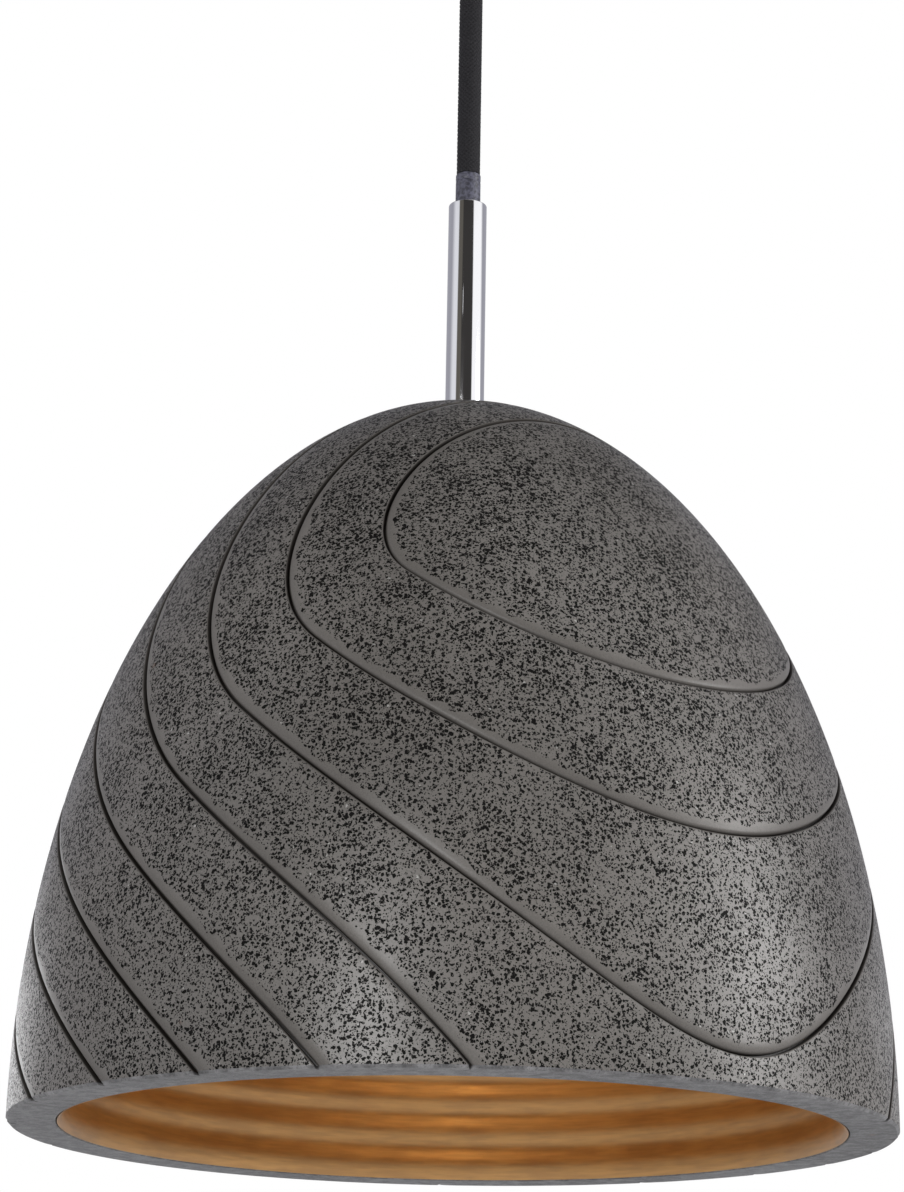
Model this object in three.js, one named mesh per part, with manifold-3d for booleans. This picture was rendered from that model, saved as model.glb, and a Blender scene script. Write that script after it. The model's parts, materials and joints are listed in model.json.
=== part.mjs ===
// A pendant ceiling light: a heavy dome shade on a short stem, hung from a ceiling cup by a cord.
// Millimetres, +Z up. The origin is the middle of the mounting strap's top face, on the ceiling.
import * as THREE from 'three';
import * as BufferGeometryUtils from 'three/addons/utils/BufferGeometryUtils.js';
import Module from 'manifold-3d';

const wasm = await Module();
wasm.setup();

// ---------------------------------------------------------------- driving dimensions

const GAP = 0.3; // between pieces that touch
const OVERCUT = 1; // how far a cutting tool runs past the face it cuts

const rim = { radius: 130, height: 225, wall: 14.3, crown: 14 };
const drop = 430; // from the ceiling down to the shade's rim
const bulbDiameter = 60;
const bulbLength = 100;
const cord = { radius: 3.8, sheath: 2.6, core: 0.9, sides: 10 };
const stem = { radius: 6.1, bore: 5.2, length: 71.8 };
const collar = { radius: 4, height: 10.8 };
const nipple = { radius: 4.9, bore: 3.9, clearance: 5.2 };
const cup = { radius: 45, height: 28, wall: 1.2, floor: 1.5 };
const gland = { radius: 6.5, length: 22, bore: 4.1 };
const strap = { length: 82, width: 20, thickness: 2, tab: 14 };

const ROUND = 40; // segments round the shade
const TURNED = 24; // segments round the middle-sized turned pieces
const SMALL = 12; // segments round the small ones

// ---------------------------------------------------------------- finishes

const finish = (color, roughness, metalness) => () =>
  new THREE.MeshStandardMaterial({ color, roughness, metalness });

const finishes = {
  concrete: finish(0x57524e, 0.5, 0),
  gold: finish(0xb9782f, 0.35, 1),
  chrome: finish(0xd8dadd, 0.08, 1),
  steel: finish(0x9fa2a5, 0.35, 1),
  brass: finish(0xc09a4c, 0.3, 1),
  darkPlastic: finish(0x333438, 0.5, 0),
  blackPlastic: finish(0x161617, 0.45, 0),
  whitePlastic: finish(0xe6e4de, 0.4, 0),
  ceramic: finish(0xf0ece2, 0.35, 0),
  rubber: finish(0x1b1b1b, 0.8, 0),
  braid: finish(0x121212, 0.95, 0),
  brownWire: finish(0x5b3420, 0.5, 0),
  blueWire: finish(0x1d4f9a, 0.5, 0),
  earthWire: finish(0x7c9a2a, 0.5, 0),
  glass: finish(0xf3e3c6, 0.05, 0),
  filament: finish(0xf2b54a, 0.6, 0),
};

// ---------------------------------------------------------------- shapes

// A point of a turned outline: its radius, then its height.
const at = (radius, height) => new THREE.Vector2(radius, height);

const circumradius = (flats) => flats / Math.sqrt(3);

// Turns a closed outline about the Z axis. An outline goes anticlockwise, seen with the axis on its left.
function turned(outline, segments = TURNED) {
  const first = outline[0];
  const last = outline[outline.length - 1];
  const onAxis = first.x === 0 && last.x === 0;
  const closed = onAxis ? outline : [...outline, first.clone()];
  return new THREE.LatheGeometry(closed, segments).rotateX(Math.PI / 2);
}

// A ring or sleeve between two radii and two heights.
const sleeve = (inner, outer, low, high, segments = TURNED) =>
  turned([at(inner, low), at(outer, low), at(outer, high), at(inner, high)], segments);

// A solid rod along Z.
const rod = (radius, low, high, segments = SMALL) =>
  turned([at(0, low), at(radius, low), at(radius, high), at(0, high)], segments);

// A plate standing on its outline in the XY plane, from one height up to another.
const plate = (outline, low, high) =>
  new THREE.ExtrudeGeometry(outline, { depth: high - low, bevelEnabled: false, curveSegments: 6 })
    .translate(0, 0, low);

const block = (x0, x1, y0, y1, z0, z1) =>
  new THREE.BoxGeometry(x1 - x0, y1 - y0, z1 - z0)
    .translate((x0 + x1) / 2, (y0 + y1) / 2, (z0 + z1) / 2);

function polygon(radius, sides, turn = 0) {
  const corners = Array.from({ length: sides }, (_, i) => {
    const angle = turn + (i * 2 * Math.PI) / sides;
    return at(radius * Math.cos(angle), radius * Math.sin(angle));
  });
  return new THREE.Shape(corners);
}

function circleHole(x, y, radius) {
  const hole = new THREE.Path();
  hole.absarc(x, y, radius, 0, 2 * Math.PI, true);
  return hole;
}

// A slot with round ends, its long way along X.
function slotHole(x, y, length, width) {
  const r = width / 2;
  const reach = length / 2 - r;
  const hole = new THREE.Path();
  hole.moveTo(x - reach, y + r);
  hole.absarc(x - reach, y, r, Math.PI / 2, (3 * Math.PI) / 2, false);
  hole.absarc(x + reach, y, r, -Math.PI / 2, Math.PI / 2, false);
  hole.closePath();
  return hole;
}

function hexNut(flats, bore, low, high) {
  const outline = polygon(circumradius(flats), 6);
  outline.holes.push(circleHole(0, 0, bore));
  return plate(outline, low, high);
}

// A round wire or cord along a curve through points, with a step every few diameters.
function wire(points, radius, sides = 8) {
  const straight = points.length === 2;
  const path = straight ? new THREE.LineCurve3(...points) : new THREE.CatmullRomCurve3(points);
  const steps = Math.max(straight ? 2 : 6, Math.round(path.getLength() / (5 * radius)));
  const section = polygon(radius, sides);
  return new THREE.ExtrudeGeometry(section, { extrudePath: path, steps, bevelEnabled: false });
}

// A machine screw along Z: a head from headLow to headHigh, a shank to tip, and a driver slot in the head.
function screw(head, shank, headLow, headHigh, tip) {
  const up = tip > headHigh;
  const outline = up
    ? [at(0, headLow), at(head, headLow), at(head, headHigh), at(shank, headHigh), at(shank, tip), at(0, tip)]
    : [at(0, tip), at(shank, tip), at(shank, headLow), at(head, headLow), at(head, headHigh), at(0, headHigh)];
  const slotDepth = 0.4 * (headHigh - headLow);
  const low = up ? headLow - OVERCUT : headHigh - slotDepth;
  const high = up ? headLow + slotDepth : headHigh + OVERCUT;
  const half = 0.15 * head;
  return cut(turned(outline, SMALL), block(-2 * head, 2 * head, -half, half, low, high));
}

// ---------------------------------------------------------------- cutting and joining

function toSolid(geometry) {
  const bare = geometry.clone();
  bare.deleteAttribute('normal');
  bare.deleteAttribute('uv');
  const merged = BufferGeometryUtils.mergeVertices(bare, 1e-4);
  const mesh = new wasm.Mesh({
    numProp: 3,
    vertProperties: new Float32Array(merged.attributes.position.array),
    triVerts: new Uint32Array(merged.index.array),
  });
  return new wasm.Manifold(mesh);
}

function fromSolid(solid) {
  const mesh = solid.getMesh();
  const geometry = new THREE.BufferGeometry();
  geometry.setAttribute('position', new THREE.BufferAttribute(mesh.vertProperties, 3));
  geometry.setIndex(new THREE.BufferAttribute(mesh.triVerts, 1));
  geometry.computeVertexNormals();
  return geometry;
}

const cut = (geometry, ...tools) =>
  fromSolid(tools.reduce((solid, tool) => solid.subtract(toSolid(tool)), toSolid(geometry)));

const join = (geometry, ...others) =>
  fromSolid(others.reduce((solid, other) => solid.add(toSolid(other)), toSolid(geometry)));

// ---------------------------------------------------------------- the scene graph

const light = new THREE.Group();
const ceiling = new THREE.Group(); // heights measured from the ceiling
const pendant = new THREE.Group(); // heights measured from the shade's rim
pendant.position.z = -drop;
light.add(ceiling, pendant);

function piece(parent, name, makeMaterial, geometry) {
  const mesh = new THREE.Mesh(geometry, makeMaterial());
  mesh.name = name;
  parent.add(mesh);
  return mesh;
}

// ---------------------------------------------------------------- the shade and its lining

// A quarter of an ellipse from the rim up to a flat of the given radius, as turned-outline points.
function domeCurve(radius, height, flatRadius, steps, fromHeight = 0) {
  const first = Math.asin(fromHeight / height);
  const last = Math.acos(flatRadius / radius);
  return Array.from({ length: steps + 1 }, (_, i) => {
    const angle = first + ((last - first) * i) / steps;
    return at(radius * Math.cos(angle), height * Math.sin(angle));
  });
}

// The dome's height where it is a given radius wide.
const domeHeight = (radius, height, r) => height * Math.sqrt(1 - (r / radius) ** 2);

const shadeHole = 5.4;
const crownFlat = 7.5;
const cavity = { radius: rim.radius - rim.wall, height: rim.height - rim.crown, flat: 18 };
const crownTop = domeHeight(rim.radius, rim.height, crownFlat);
const cavityTop = domeHeight(cavity.radius, cavity.height, cavity.flat);

function makeShade() {
  const outside = domeCurve(rim.radius, rim.height, crownFlat, 14);
  const inside = domeCurve(cavity.radius, cavity.height, cavity.flat, 10).reverse();
  piece(pendant, 'shade_shell', finishes.concrete,
    turned([...outside, at(shadeHole, crownTop), at(shadeHole, cavityTop), ...inside], ROUND));
}

const lining = { thickness: 1, hole: 6, fromRim: 1.5 };
const liningTop = cavityTop - GAP;

function makeLining() {
  const outer = { radius: cavity.radius - GAP - 0.1, height: cavity.height - GAP - 0.1 };
  const inner = { radius: outer.radius - lining.thickness, height: outer.height - lining.thickness };
  const widthAt = (dome, height) => dome.radius * Math.sqrt(1 - (height / dome.height) ** 2);
  const flatUnder = liningTop - lining.thickness;
  const outside = domeCurve(outer.radius, outer.height, widthAt(outer, liningTop), 10, lining.fromRim);
  const inside = domeCurve(inner.radius, inner.height, widthAt(inner, flatUnder), 10, lining.fromRim);
  const outline = [...outside, at(lining.hole, liningTop), at(lining.hole, flatUnder), ...inside.reverse()];
  piece(pendant, 'reflector_lining', finishes.gold, turned(outline, ROUND));
}

// ---------------------------------------------------------------- the stem and what clamps the shade

const stemLow = crownTop + GAP;
const stemTop = stemLow + stem.length;
const lipHeight = 1.3;
const lipBore = 4.3;
const collarTop = stemTop + collar.height;
const collarFoot = stemTop - 11;
const cushion = { radius: 15, thickness: 2 };
const spreader = { radius: 17, thickness: 1.5 };
const cushionTop = liningTop - lining.thickness - GAP;
const spreaderTop = cushionTop - cushion.thickness - GAP;
const lockNutTop = spreaderTop - spreader.thickness - GAP;
const lockNutHeight = 3.8;
const lockNutLow = lockNutTop - lockNutHeight;
const nippleTop = stemLow + 13;
const nippleLow = lockNutLow - 17;

function makeStem() {
  const shoulder = stemTop - lipHeight;
  piece(pendant, 'stem_tube', finishes.chrome, turned([
    at(stem.bore, stemLow),
    at(stem.radius, stemLow),
    at(stem.radius, stemTop - 0.6),
    at(stem.radius - 0.6, stemTop),
    at(lipBore, stemTop),
    at(lipBore, shoulder),
    at(stem.bore, shoulder),
  ]));
  const bore = cord.sheath + GAP;
  piece(pendant, 'cord_collar', finishes.darkPlastic, turned([
    at(bore, collarFoot),
    at(stem.bore - GAP, collarFoot),
    at(stem.bore - GAP, shoulder - GAP),
    at(collar.radius, shoulder - GAP),
    at(collar.radius, collarTop),
    at(bore, collarTop),
  ]));
  piece(pendant, 'inner_sheath', finishes.blackPlastic,
    wire([new THREE.Vector3(0, 0, nippleLow + 2), new THREE.Vector3(0, 0, collarTop - GAP)], cord.sheath));
  piece(pendant, 'threaded_nipple', finishes.brass, sleeve(nipple.bore, nipple.radius, nippleLow, nippleTop));
}

function makeCrownClamp() {
  piece(pendant, 'cushion_washer', finishes.rubber,
    sleeve(nipple.clearance, cushion.radius, cushionTop - cushion.thickness, cushionTop));
  piece(pendant, 'spreader_washer', finishes.steel,
    sleeve(nipple.clearance, spreader.radius, spreaderTop - spreader.thickness, spreaderTop));
  piece(pendant, 'lock_nut', finishes.steel, hexNut(14, nipple.clearance, lockNutLow, lockNutTop));
}

// ---------------------------------------------------------------- the lampholder

const holderCap = { radius: 20, wall: 2, height: 26, boss: 9, bossHeight: 8.4 };
const holderBody = { radius: 19.6, wall: 2.1, height: 36, mouth: 15.4, footRadius: 17, footHeight: 3 };
const insert = { height: 10, pocketRadius: 1.7, pocketDepth: 7 };
const threadShell = { outer: 14.7, inner: 13.9, lid: 1, window: 6 };
const earthTag = { radius: 7.4, thickness: 0.8, halfWidth: 1.6, reach: 10.4 };
const holderNutHeight = 2.2;
const capTop = lockNutLow - GAP;
const capFloor = capTop - holderCap.bossHeight; // underside of the boss, inside the cap
const capLow = capTop - holderCap.height;
const bodyTop = capLow - GAP;
const bodyLow = bodyTop - holderBody.height;
const insertTop = capLow + 1;
const insertLow = insertTop - insert.height;
const shellTop = insertLow - GAP;
const shellLow = bodyLow + 1.5;
const screwReach = 9; // from the axis to each terminal screw

function makeHolderCap() {
  const inside = holderCap.radius - holderCap.wall;
  piece(pendant, 'holder_cap', finishes.blackPlastic, turned([
    at(nipple.clearance, capFloor),
    at(holderCap.boss + 1.5, capFloor),
    at(inside, capFloor - 6),
    at(inside, capLow),
    at(holderCap.radius, capLow),
    at(holderCap.radius, capFloor - 5),
    at(holderCap.boss + 4, capTop - 7),
    at(holderCap.boss, capTop - 5.5),
    at(holderCap.boss, capTop),
    at(nipple.clearance, capTop),
  ]));
  const tagTop = capFloor - GAP;
  const tagLow = tagTop - earthTag.thickness;
  const half = earthTag.halfWidth;
  const ear = block(-half, half, 0, earthTag.reach, tagLow, tagTop);
  const ring = join(plate(polygon(earthTag.radius, TURNED), tagLow, tagTop), ear);
  piece(pendant, 'holder_earth_tag', finishes.brass,
    cut(ring, rod(nipple.clearance, tagLow - OVERCUT, tagTop + OVERCUT)));
  const nutTop = tagLow - GAP;
  piece(pendant, 'holder_nut', finishes.brass, hexNut(13, nipple.clearance, nutTop - holderNutHeight, nutTop));
  return tagLow;
}

function makeHolderBody() {
  const bore = holderBody.radius - holderBody.wall;
  piece(pendant, 'holder_body', finishes.blackPlastic, turned([
    at(bore, bodyTop),
    at(bore, insertLow - 2),
    at(holderBody.mouth, insertLow - 2 - GAP),
    at(holderBody.mouth, bodyLow),
    at(holderBody.footRadius, bodyLow),
    at(holderBody.radius, bodyLow + holderBody.footHeight),
    at(holderBody.radius, bodyTop),
  ]));
  const pockets = [-1, 1].map((side) =>
    rod(insert.pocketRadius, insertTop - insert.pocketDepth, insertTop + OVERCUT)
      .translate(side * screwReach, 0, 0));
  piece(pendant, 'holder_insert', finishes.ceramic,
    cut(rod(bore - GAP, insertLow, insertTop, TURNED), ...pockets));
  piece(pendant, 'holder_thread_shell', finishes.brass, turned([
    at(threadShell.window, shellTop - threadShell.lid),
    at(threadShell.inner, shellTop - threadShell.lid),
    at(threadShell.inner, shellLow),
    at(threadShell.outer, shellLow),
    at(threadShell.outer, shellTop),
    at(threadShell.window, shellTop),
  ]));
  const strip = new THREE.Shape([
    at(-5.2, shellTop - 0.1),
    at(-5.2, shellTop - 0.9),
    at(1.5, contactTop + GAP),
    at(4, contactTop + GAP),
    at(4, contactTop + GAP + 0.6),
    at(1.8, contactTop + GAP + 0.6),
    at(-4.2, shellTop - 0.1),
  ]);
  piece(pendant, 'holder_centre_contact', finishes.brass,
    new THREE.ExtrudeGeometry(strip, { depth: 4, bevelEnabled: false })
      .translate(0, 0, -2)
      .rotateX(Math.PI / 2));
}

function makeHolderWiring(tagLow) {
  const headHigh = insertTop + GAP + 2.2;
  const headLow = insertTop + GAP;
  const wires = [
    { name: 'live', side: 1, material: finishes.brownWire },
    { name: 'neutral', side: -1, material: finishes.blueWire },
  ];
  const mouth = nippleLow + 1.7;
  for (const { name, side, material } of wires) {
    piece(pendant, `holder_screw_${name}`, finishes.steel, screw(2.6, 1.4, headLow, headHigh, insertTop - 6))
      .position.x = side * screwReach;
    piece(pendant, `core_${name}_lower`, material, wire([
      new THREE.Vector3(side * 1.3, -0.9, mouth),
      new THREE.Vector3(side * 1.5, -0.9, mouth - 3),
      new THREE.Vector3(side * 5.5, -3, mouth - 8),
      new THREE.Vector3(side * 8.6, -3, headHigh + 2),
      new THREE.Vector3(side * 9, -1, headHigh + 1.3),
    ], cord.core));
  }
  piece(pendant, 'core_earth_lower', finishes.earthWire, wire([
    new THREE.Vector3(0, 1.5, mouth),
    new THREE.Vector3(0, 1.6, mouth - 2.5),
    new THREE.Vector3(0, 5, mouth - 5),
    new THREE.Vector3(0, 9, tagLow - 3.2),
    new THREE.Vector3(0, 9.4, tagLow - GAP),
  ], cord.core));
}

// ---------------------------------------------------------------- the bulb

const seat = 4; // how far the bulb's tip stands below the lampholder's insert
const contactTop = insertLow - seat;
const contactLow = contactTop - 1.3;
const insulatorLow = contactLow - GAP - 3;
const bulbCap = { radius: 13.1, wall: 0.6, height: 22, shoulder: 11.5, window: 6 };
const bulbCapTop = insulatorLow - GAP;
const bulbCapLow = bulbCapTop - bulbCap.height;
const bulbRadius = bulbDiameter / 2;
const bulbFoot = contactTop - bulbLength;
const bulbMiddle = bulbFoot + bulbRadius;
const neckTop = bulbCapLow + 6;
const filamentCount = 4;

// The glass from its open neck round to its foot, at the outer radius less an inset.
function glassCurve(inset) {
  const neck = 12.2 - inset;
  const ball = bulbRadius - inset;
  const shoulder = new THREE.CubicBezierCurve(
    at(neck, bulbCapLow - 1),
    at(neck, bulbCapLow - 14),
    at(ball, bulbMiddle + 16),
    at(ball, bulbMiddle),
  ).getPoints(6);
  const bowl = Array.from({ length: 5 }, (_, i) => {
    const angle = ((i + 1) * Math.PI) / 10;
    return at(ball * Math.cos(angle), bulbMiddle - ball * Math.sin(angle));
  });
  bowl[4].x = 0;
  return [at(neck, neckTop), ...shoulder, ...bowl];
}

function makeBulb() {
  const wall = 1;
  piece(pendant, 'bulb_glass', finishes.glass,
    turned([...glassCurve(0).reverse(), ...glassCurve(wall)], TURNED));
  piece(pendant, 'bulb_cap', finishes.chrome, turned([
    at(bulbCap.radius, bulbCapLow),
    at(bulbCap.radius, bulbCapTop - 2),
    at(bulbCap.shoulder, bulbCapTop),
    at(bulbCap.window, bulbCapTop),
    at(bulbCap.window, bulbCapTop - bulbCap.wall),
    at(bulbCap.shoulder - 0.5, bulbCapTop - 0.7),
    at(bulbCap.radius - bulbCap.wall, bulbCapTop - 2.4),
    at(bulbCap.radius - bulbCap.wall, bulbCapLow),
  ]));
  piece(pendant, 'bulb_insulator', finishes.blackPlastic, turned([
    at(0, insulatorLow),
    at(10.5, insulatorLow),
    at(5.5, insulatorLow + 3),
    at(0, insulatorLow + 3),
  ], TURNED));
  piece(pendant, 'bulb_contact', finishes.steel, turned([
    at(0, contactLow),
    at(4.8, contactLow),
    at(3.6, contactTop),
    at(0, contactTop),
  ], SMALL));
  const postTop = bulbCapLow + 4;
  const filamentTop = bulbMiddle + 22;
  const filamentLow = bulbMiddle - 8;
  piece(pendant, 'bulb_stem', finishes.glass, turned([
    at(0, filamentLow - 2),
    at(1.4, filamentLow - 2),
    at(1.6, filamentTop + 6),
    at(3.4, filamentTop + 12),
    at(9, postTop - 1),
    at(9, postTop),
    at(0, postTop),
  ], SMALL));
  for (let i = 0; i < filamentCount; i += 1) {
    const angle = ((i + 0.5) * 2 * Math.PI) / filamentCount;
    const out = new THREE.Vector3(Math.cos(angle), Math.sin(angle), 0);
    const top = out.clone().multiplyScalar(5).setZ(filamentTop);
    const low = out.clone().multiplyScalar(11).setZ(filamentLow);
    piece(pendant, `bulb_filament_${i + 1}`, finishes.filament, wire([low, top], 0.9));
  }
}

// ---------------------------------------------------------------- the free cord

const glandMouth = -cup.height - GAP - gland.length;
const cordTopLength = 12;

function makeCord() {
  const foot = collarTop - drop + GAP;
  const middle = glandMouth - cordTopLength;
  piece(ceiling, 'cord_top', finishes.braid, wire([
    new THREE.Vector3(0, 0, glandMouth - GAP),
    new THREE.Vector3(0, 0, middle),
  ], cord.radius, cord.sides));
  piece(ceiling, 'cord', finishes.braid, wire([
    new THREE.Vector3(0, 0, middle - GAP),
    new THREE.Vector3(0, 0, foot),
  ], cord.radius, cord.sides));
}

// ---------------------------------------------------------------- the ceiling fitting

const slotPlace = 28;
const tabPlace = strap.length / 2 - strap.thickness / 2;
const sideScrewHeight = -8;
const terminal = { x0: 5, x1: 19, y: 4.5, height: -8.6, radius: 2.6, bore: 1.3 };
const wireScrews = [8.5, 15.5]; // along a terminal
const blockTop = -strap.thickness - GAP;
const blockLow = -14.6;
const earthPlace = -13;
const tailTop = -18;

function makeStrap() {
  const outline = new THREE.Shape([
    at(-strap.length / 2, -strap.width / 2),
    at(strap.length / 2, -strap.width / 2),
    at(strap.length / 2, strap.width / 2),
    at(-strap.length / 2, strap.width / 2),
  ]);
  outline.holes.push(slotHole(-slotPlace, 0, 12, 5));
  outline.holes.push(slotHole(slotPlace, 0, 12, 5));
  outline.holes.push(circleHole((wireScrews[0] + wireScrews[1]) / 2, 0, 1.6));
  outline.holes.push(circleHole(earthPlace, 0, 1.9));
  const flat = plate(outline, -strap.thickness, 0);
  const tabs = [-1, 1].map((side) => {
    const x = side * tabPlace;
    const half = strap.thickness / 2;
    const low = -strap.thickness - strap.tab;
    const tab = block(x - half, x + half, -strap.width / 2, strap.width / 2, low, -0.5);
    const hole = rod(2, -OVERCUT - half, OVERCUT + half).rotateY(Math.PI / 2).translate(x, 0, sideScrewHeight);
    return cut(tab, hole);
  });
  piece(ceiling, 'mounting_strap', finishes.steel, join(flat, ...tabs));
}

function makeCup() {
  const inside = cup.radius - cup.wall;
  const floor = -cup.height + cup.floor;
  const shell = turned([
    at(nipple.clearance, -cup.height),
    at(cup.radius - 3, -cup.height),
    at(cup.radius - 0.9, -cup.height + 0.9),
    at(cup.radius, -cup.height + 3),
    at(cup.radius, 0),
    at(inside, 0),
    at(inside, floor + 1.8),
    at(inside - 1.8, floor),
    at(nipple.clearance, floor),
  ], 36);
  const holes = rod(2.1, -60, 60).rotateY(Math.PI / 2).translate(0, 0, sideScrewHeight);
  piece(ceiling, 'canopy_cup', finishes.chrome, cut(shell, holes));
  for (const [name, side] of [['left', -1], ['right', 1]]) {
    const head = cup.radius + 0.2;
    const part = screw(3.6, 1.7, -head - 2, -head, -tabPlace + 2.5);
    piece(ceiling, `canopy_screw_${name}`, finishes.chrome, part.rotateY((side * -Math.PI) / 2))
      .position.z = sideScrewHeight;
  }
}

function makeGland() {
  const shoulder = -cup.height - GAP;
  const clampHeight = shoulder - 12;
  const barrel = turned([
    at(gland.bore + 1.2, glandMouth), // a bell mouth, so that the cord can bend here
    at(gland.radius - 0.6, glandMouth),
    at(gland.radius, glandMouth + 0.8),
    at(gland.radius, shoulder - 3),
    at(gland.radius + 2, shoulder - 2.4),
    at(gland.radius + 2, shoulder),
    at(nipple.radius, shoulder),
    at(nipple.radius, shoulder + 9),
    at(gland.bore, shoulder + 9),
    at(gland.bore, glandMouth + 3),
  ]);
  const tapped = rod(1.7, cord.radius - OVERCUT, gland.radius + OVERCUT).rotateY(Math.PI / 2);
  piece(ceiling, 'cord_gland', finishes.blackPlastic, cut(barrel, tapped.translate(0, 0, clampHeight)));
  const nutLow = -cup.height + cup.floor + GAP;
  piece(ceiling, 'gland_nut', finishes.blackPlastic, hexNut(15, nipple.clearance, nutLow, nutLow + 3.5));
  piece(ceiling, 'gland_clamp_screw', finishes.steel,
    screw(1.4, 1, gland.radius - 1.2, gland.radius - 0.2, cord.radius + GAP).rotateY(Math.PI / 2))
    .position.z = clampHeight;
}

function makeTerminals() {
  const middle = (wireScrews[0] + wireScrews[1]) / 2;
  const housing = block(terminal.x0, terminal.x1, -9, 9, blockLow, blockTop);
  const tools = [rod(1.6, -40, 0).translate(middle, 0, 0)];
  const sides = [['live', 1], ['neutral', -1]];
  const along = (radius, low, high, y) =>
    rod(radius, low, high).rotateY(Math.PI / 2).translate(0, y, terminal.height);
  for (const [, side] of sides) {
    tools.push(along(terminal.radius + GAP, terminal.x0 - OVERCUT, terminal.x1 + OVERCUT, side * terminal.y));
    for (const x of wireScrews) {
      tools.push(rod(1.9, blockLow - OVERCUT, terminal.height).translate(x, side * terminal.y, 0));
    }
  }
  piece(ceiling, 'terminal_block', finishes.whitePlastic, cut(housing, ...tools));
  let screwNumber = 0;
  for (const [name, side] of sides) {
    const y = side * terminal.y;
    const tube = along(terminal.radius, terminal.x0 + 0.5, terminal.x1 - 0.5, y);
    const bore = along(terminal.bore, terminal.x0 - OVERCUT, terminal.x1 + OVERCUT, y);
    const taps = wireScrews.map((x) => rod(1.25, -40, terminal.height).translate(x, y, 0));
    piece(ceiling, `terminal_${name}`, finishes.brass, cut(tube, bore, ...taps));
    for (const x of wireScrews) {
      screwNumber += 1;
      piece(ceiling, `terminal_screw_${screwNumber}`, finishes.steel,
        screw(1.5, 1, blockLow + 0.6, terminal.height - terminal.radius - 1.2, terminal.height - 0.9))
        .position.set(x, y, 0);
    }
  }
  piece(ceiling, 'block_screw', finishes.steel, screw(2.8, 1.3, blockLow - GAP - 2, blockLow - GAP, -0.4))
    .position.x = middle;
}

function makeEarth() {
  const lugTop = -strap.thickness - GAP;
  const lugLow = lugTop - 0.8;
  const eye = plate(polygon(4, SMALL), lugLow, lugTop);
  const crimp = block(0, 7.5, -1.5, 1.5, lugLow, lugTop);
  const lug = cut(join(eye, crimp), rod(1.9, lugLow - OVERCUT, lugTop + OVERCUT));
  piece(ceiling, 'earth_lug', finishes.brass, lug).position.x = earthPlace;
  piece(ceiling, 'earth_screw', finishes.brass, screw(3.4, 1.6, lugLow - GAP - 2.2, lugLow - GAP, -0.4))
    .position.x = earthPlace;
}

function makeCeilingWiring() {
  piece(ceiling, 'cord_tail', finishes.braid, wire([
    new THREE.Vector3(0, 0, glandMouth),
    new THREE.Vector3(0, 0, tailTop),
  ], cord.radius, cord.sides));
  const start = tailTop + GAP;
  for (const [name, side, material] of [['live', 1, finishes.brownWire], ['neutral', -1, finishes.blueWire]]) {
    piece(ceiling, `core_${name}`, material, wire([
      new THREE.Vector3(1, side * 1.4, start),
      new THREE.Vector3(0.8, side * 2, start + 4),
      new THREE.Vector3(0.9, side * 3.8, start + 7.4),
      new THREE.Vector3(3, side * 4.5, terminal.height),
      new THREE.Vector3(7, side * 4.5, terminal.height),
    ], cord.core));
  }
  const lugEnd = earthPlace + 6.4;
  piece(ceiling, 'core_earth', finishes.earthWire, wire([
    new THREE.Vector3(-1.8, 0, start),
    new THREE.Vector3(-2, 0, start + 4),
    new THREE.Vector3(-4.5, 0, start + 8.5),
    new THREE.Vector3(lugEnd, 0, start + 11.5),
    new THREE.Vector3(lugEnd, 0, -strap.thickness - GAP - 0.8 - GAP),
  ], cord.core));
}

// ---------------------------------------------------------------- assembly

makeStrap();
makeCup();
makeGland();
makeTerminals();
makeEarth();
makeCeilingWiring();
makeCord();
makeStem();
makeShade();
makeLining();
makeCrownClamp();
makeHolderWiring(makeHolderCap());
makeHolderBody();
makeBulb();

export default light;
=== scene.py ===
"""A pendant ceiling light with a grooved concrete dome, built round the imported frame.

Metres, +Z up. The origin is on the ceiling, and the lamp hangs below it.
"""

import json
import math

import bmesh
import bpy
import numpy as np
from mathutils import Matrix, Vector


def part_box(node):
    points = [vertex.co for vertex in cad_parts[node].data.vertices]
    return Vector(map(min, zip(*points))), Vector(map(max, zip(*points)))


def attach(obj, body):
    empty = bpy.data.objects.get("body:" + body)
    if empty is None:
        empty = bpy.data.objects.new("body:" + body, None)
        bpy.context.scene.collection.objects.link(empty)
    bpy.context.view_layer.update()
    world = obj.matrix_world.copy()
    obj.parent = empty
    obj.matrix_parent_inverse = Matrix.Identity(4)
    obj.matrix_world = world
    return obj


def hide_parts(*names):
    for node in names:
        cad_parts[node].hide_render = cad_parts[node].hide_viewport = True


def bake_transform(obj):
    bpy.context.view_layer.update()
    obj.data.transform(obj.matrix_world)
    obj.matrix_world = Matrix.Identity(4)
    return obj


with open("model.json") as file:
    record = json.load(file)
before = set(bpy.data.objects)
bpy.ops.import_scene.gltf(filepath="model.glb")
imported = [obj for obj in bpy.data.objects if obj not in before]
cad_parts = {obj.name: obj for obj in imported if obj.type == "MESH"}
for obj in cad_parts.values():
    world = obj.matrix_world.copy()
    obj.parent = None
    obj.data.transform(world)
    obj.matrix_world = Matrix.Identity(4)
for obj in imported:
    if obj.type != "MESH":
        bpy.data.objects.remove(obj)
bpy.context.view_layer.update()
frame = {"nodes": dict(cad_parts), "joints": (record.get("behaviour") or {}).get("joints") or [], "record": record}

MM = 0.001
record = frame["record"]
body_of = {n: body for body, names in record["behaviour"]["bodies"].items() for n in names}
slot_of = {part["node"]: part["material_slot"] for part in record["subparts"]}


def low(node):
    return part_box(node)[0]


def high(node):
    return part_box(node)[1]


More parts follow.
